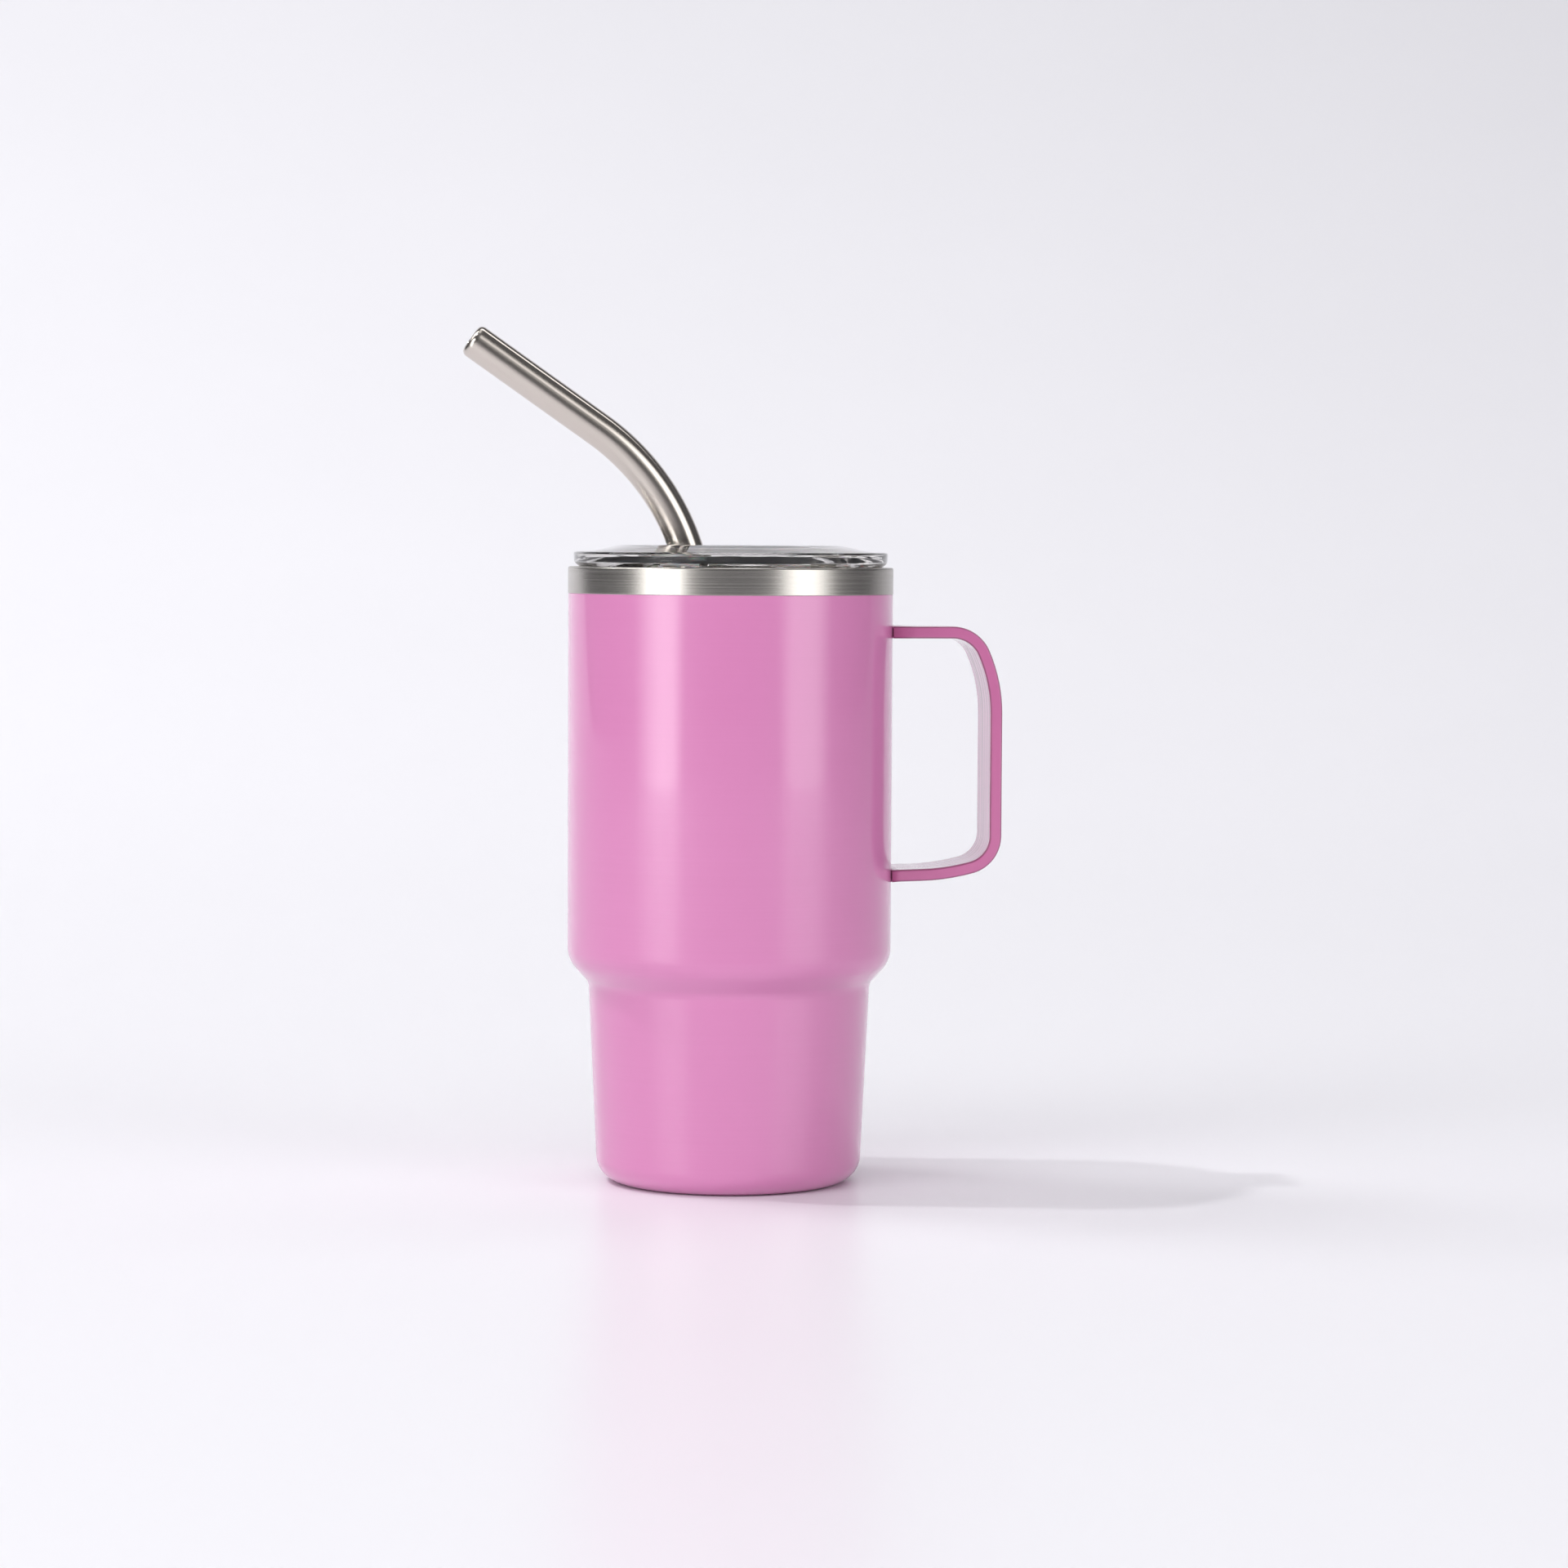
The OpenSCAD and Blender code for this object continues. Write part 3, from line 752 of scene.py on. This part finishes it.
def make_base(material):
    """The dished floor of the shell, with the port in its dimple, and the disc that hides it."""
    skirt_r = RING_R - WALL
    dish_top = RECESS_Z + WALL
    dimple_low = RECESS_Z + 1.1
    dimple_top = dimple_low + WALL
    port_r = 0.8
    plate = lathe("base_dish", rounded([
        (RING_R, 0.2, 0.1), (RING_R, dish_top, 0.3), (5.2, dish_top, 0.4), (4.5, dimple_top, 0.4),
        (port_r, dimple_top, 0), (port_r, dimple_low, 0), (3.8, dimple_low, 0.3),
        (4.5, RECESS_Z, 0.5), (skirt_r, RECESS_Z, 0.4), (skirt_r, 0.2, 0.1)], step=12))
    place_piece(plate, "cup", material, "base_plate")
    cover_r = skirt_r - 0.2
    cover_low = RECESS_Z - 0.5
    cover = lathe("base_disc", rounded([
        (0, cover_low), (cover_r, cover_low, 0.15), (cover_r, RECESS_Z, 0.1), (0, RECESS_Z)],
        step=15, closed=False))
    place_piece(cover, "cup", material, "base_cover")


# ---------------------------------------------------------------- studio

def make_stage(material):
    """A floor that sweeps up into the backdrop."""
    left, right = -2.2, 2.7
    front, back = -2.6, 0.8
    bend = 2.4
    outline = [(front, 0.0), (back, 0.0)]
    outline += [(back + bend * math.sin(a), bend * (1 - math.cos(a)))
                for a in np.linspace(0, math.pi / 2, 33)[1:]]
    points = []
    for x in (left, right):
        points += [STUDIO @ Vector((x, y, z)) / MM for y, z in outline]
    count = len(outline)
    faces = [[k, k + count, k + count + 1, k + 1] for k in range(count - 1)]
    stage = mesh_object("studio_sweep", points, faces)
    stage.data.materials.append(material)


def fade_sides(light, fades):
    """Lets a light fade out over a share of its width on each side. X runs from 0 to 1 across it."""
    light.use_nodes = True
    tree = light.node_tree
    across = add_node(tree, "SeparateXYZ", {
        "Vector": add_node(tree, "NewGeometry").outputs["Parametric"]}).outputs["X"]
    first, last = [add_node(tree, "MapRange", {"Value": across, "From Min": edge, "From Max": full},
                            interpolation_type="SMOOTHSTEP").outputs["Result"]
                   for edge, full in ((0, fades[0]), (1, 1 - fades[1]))]
    tree.links.new(compute(tree, "MULTIPLY", first, last), tree.nodes["Emission"].inputs["Strength"])


def area_light(name, spot, target, size, radiance, fades):
    """A rectangular light that faces target, as an object."""
    light = bpy.data.lights.new(name, "AREA")
    light.shape = "RECTANGLE"
    light.size, light.size_y = size
    light.energy = radiance * math.pi * size[0] * size[1]
    if fades:
        fade_sides(light, fades)
    thing = bpy.data.objects.new(name, light)
    spot = Vector(spot)
    look = (Vector(target) - spot).to_track_quat("-Z", "Y").to_matrix().to_4x4()
    thing.matrix_world = STUDIO @ Matrix.Translation(spot) @ look
    bpy.context.scene.collection.objects.link(thing)
    return thing


def make_lights():
    """The sun, the soft boxes and the room. Glossy surfaces don't mirror the upper front box."""
    sun = bpy.data.lights.new("key", "SUN")
    sun.energy = SUN_STRENGTH
    sun.angle = SUN_WIDTH
    thing = bpy.data.objects.new("key", sun)
    thing.matrix_world = STUDIO @ SUN_FROM.to_track_quat("Z", "Y").to_matrix().to_4x4()
    bpy.context.scene.collection.objects.link(thing)
    for name, settings in BOXES.items():
        area_light(name, *settings).visible_glossy = name != "upper_front"
    world = bpy.data.worlds.new("room")
    bpy.context.scene.world = world
    world.use_nodes = True
    tree = world.node_tree
    shade = tree.nodes["Background"]
    shade.inputs["Color"].default_value = ROOM_COLOUR
    seen = add_node(tree, "LightPath").outputs["Is Camera Ray"]
    strength = add_node(tree, "MapRange", {"Value": seen, "To Min": ROOM_STRENGTH,
                                           "To Max": BEYOND_STAGE})
    tree.links.new(strength.outputs["Result"], shade.inputs["Strength"])


def make_camera():
    """The camera that was fitted to the photo."""
    camera = bpy.data.cameras.new("camera")
    camera.lens = LENS
    camera.sensor_width = SENSOR
    camera.clip_start = 0.05
    thing = bpy.data.objects.new("camera", camera)
    thing.matrix_world = (STUDIO @ Matrix.Translation(CAMERA_SPOT)
                          @ Matrix.Rotation(math.pi / 2 - CAMERA_PITCH, 4, "X")
                          @ Matrix.Rotation(CAMERA_ROLL, 4, "Z"))
    bpy.context.scene.collection.objects.link(thing)
    bpy.context.scene.camera = thing
    bpy.context.scene.view_settings.view_transform = "Standard"


# ---------------------------------------------------------------- the scene

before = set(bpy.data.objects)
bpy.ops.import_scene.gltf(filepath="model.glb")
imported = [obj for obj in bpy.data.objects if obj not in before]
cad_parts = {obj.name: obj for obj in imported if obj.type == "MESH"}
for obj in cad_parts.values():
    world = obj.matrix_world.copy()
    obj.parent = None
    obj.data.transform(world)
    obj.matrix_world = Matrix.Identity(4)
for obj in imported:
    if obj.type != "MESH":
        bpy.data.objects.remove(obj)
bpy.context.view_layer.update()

paint = paint_material("pink_paint", (12, 12, 2600))
# the handle's paint also carries painted shade on the strip's cut sides
handle_paint_with_painted_shade = paint_material("pink_paint_handle_with_painted_shade", (14, 2600, 2600), straight=True)
crevice_shade = crevice_shade_material("joint_painted_shade")
band_steel = steel_material("brushed_steel", (14, 14, 3600), 0.24, (196, 192, 186),
                            anisotropic=0.5)
liner_steel = steel_material("liner_steel", (14, 14, 3600), 0.24, (196, 192, 186),
                             anisotropic=0.5, scatter=(LINER_MIDDLE_R, INSIDE_METALLIC))
straw_steel = steel_material("straw_steel", (2200, 2200, 16), 0.22, (208, 200, 192),
                             straight=True, anisotropic=0.9)
clear = plastic_material("clear_plastic", (240, 238, 235))
silicone = silicone_material("silicone")
backdrop = studio_material("pale_backdrop")

make_shell(paint)
make_liner(liner_steel)
make_handle(handle_paint_with_painted_shade)
# the weld beads carry the crevice's painted shade
make_weld("weld_upper", "handle_weld_upper", crevice_shade, HANDLE_TOP)
make_weld("weld_lower", "handle_weld_lower", crevice_shade, LOWER_ARM_TOP)
make_lid(clear)
make_slider(clear)
make_seal(silicone)
make_grommet(silicone)
make_straw(straw_steel)
make_base(band_steel)

foil = steel_material("foil", (500, 500, 500), 0.35, (205, 206, 208), bump=0.5)
solder = steel_material("solder", (900, 900, 900), 0.5, (120, 118, 116), bump=0.4)
getter_alloy = steel_material("getter_alloy", (2000, 2000, 2000), 0.7, (110, 108, 106), bump=0.6)
for node, material in (("liner_bottom", liner_steel), ("foil_wrap", foil),
                       ("vacuum_seal", solder), ("getter_holder", band_steel),
                       ("getter", getter_alloy)):
    for material_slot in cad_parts[node].material_slots:
        material_slot.material = material

make_stage(backdrop)
make_lights()
make_camera()
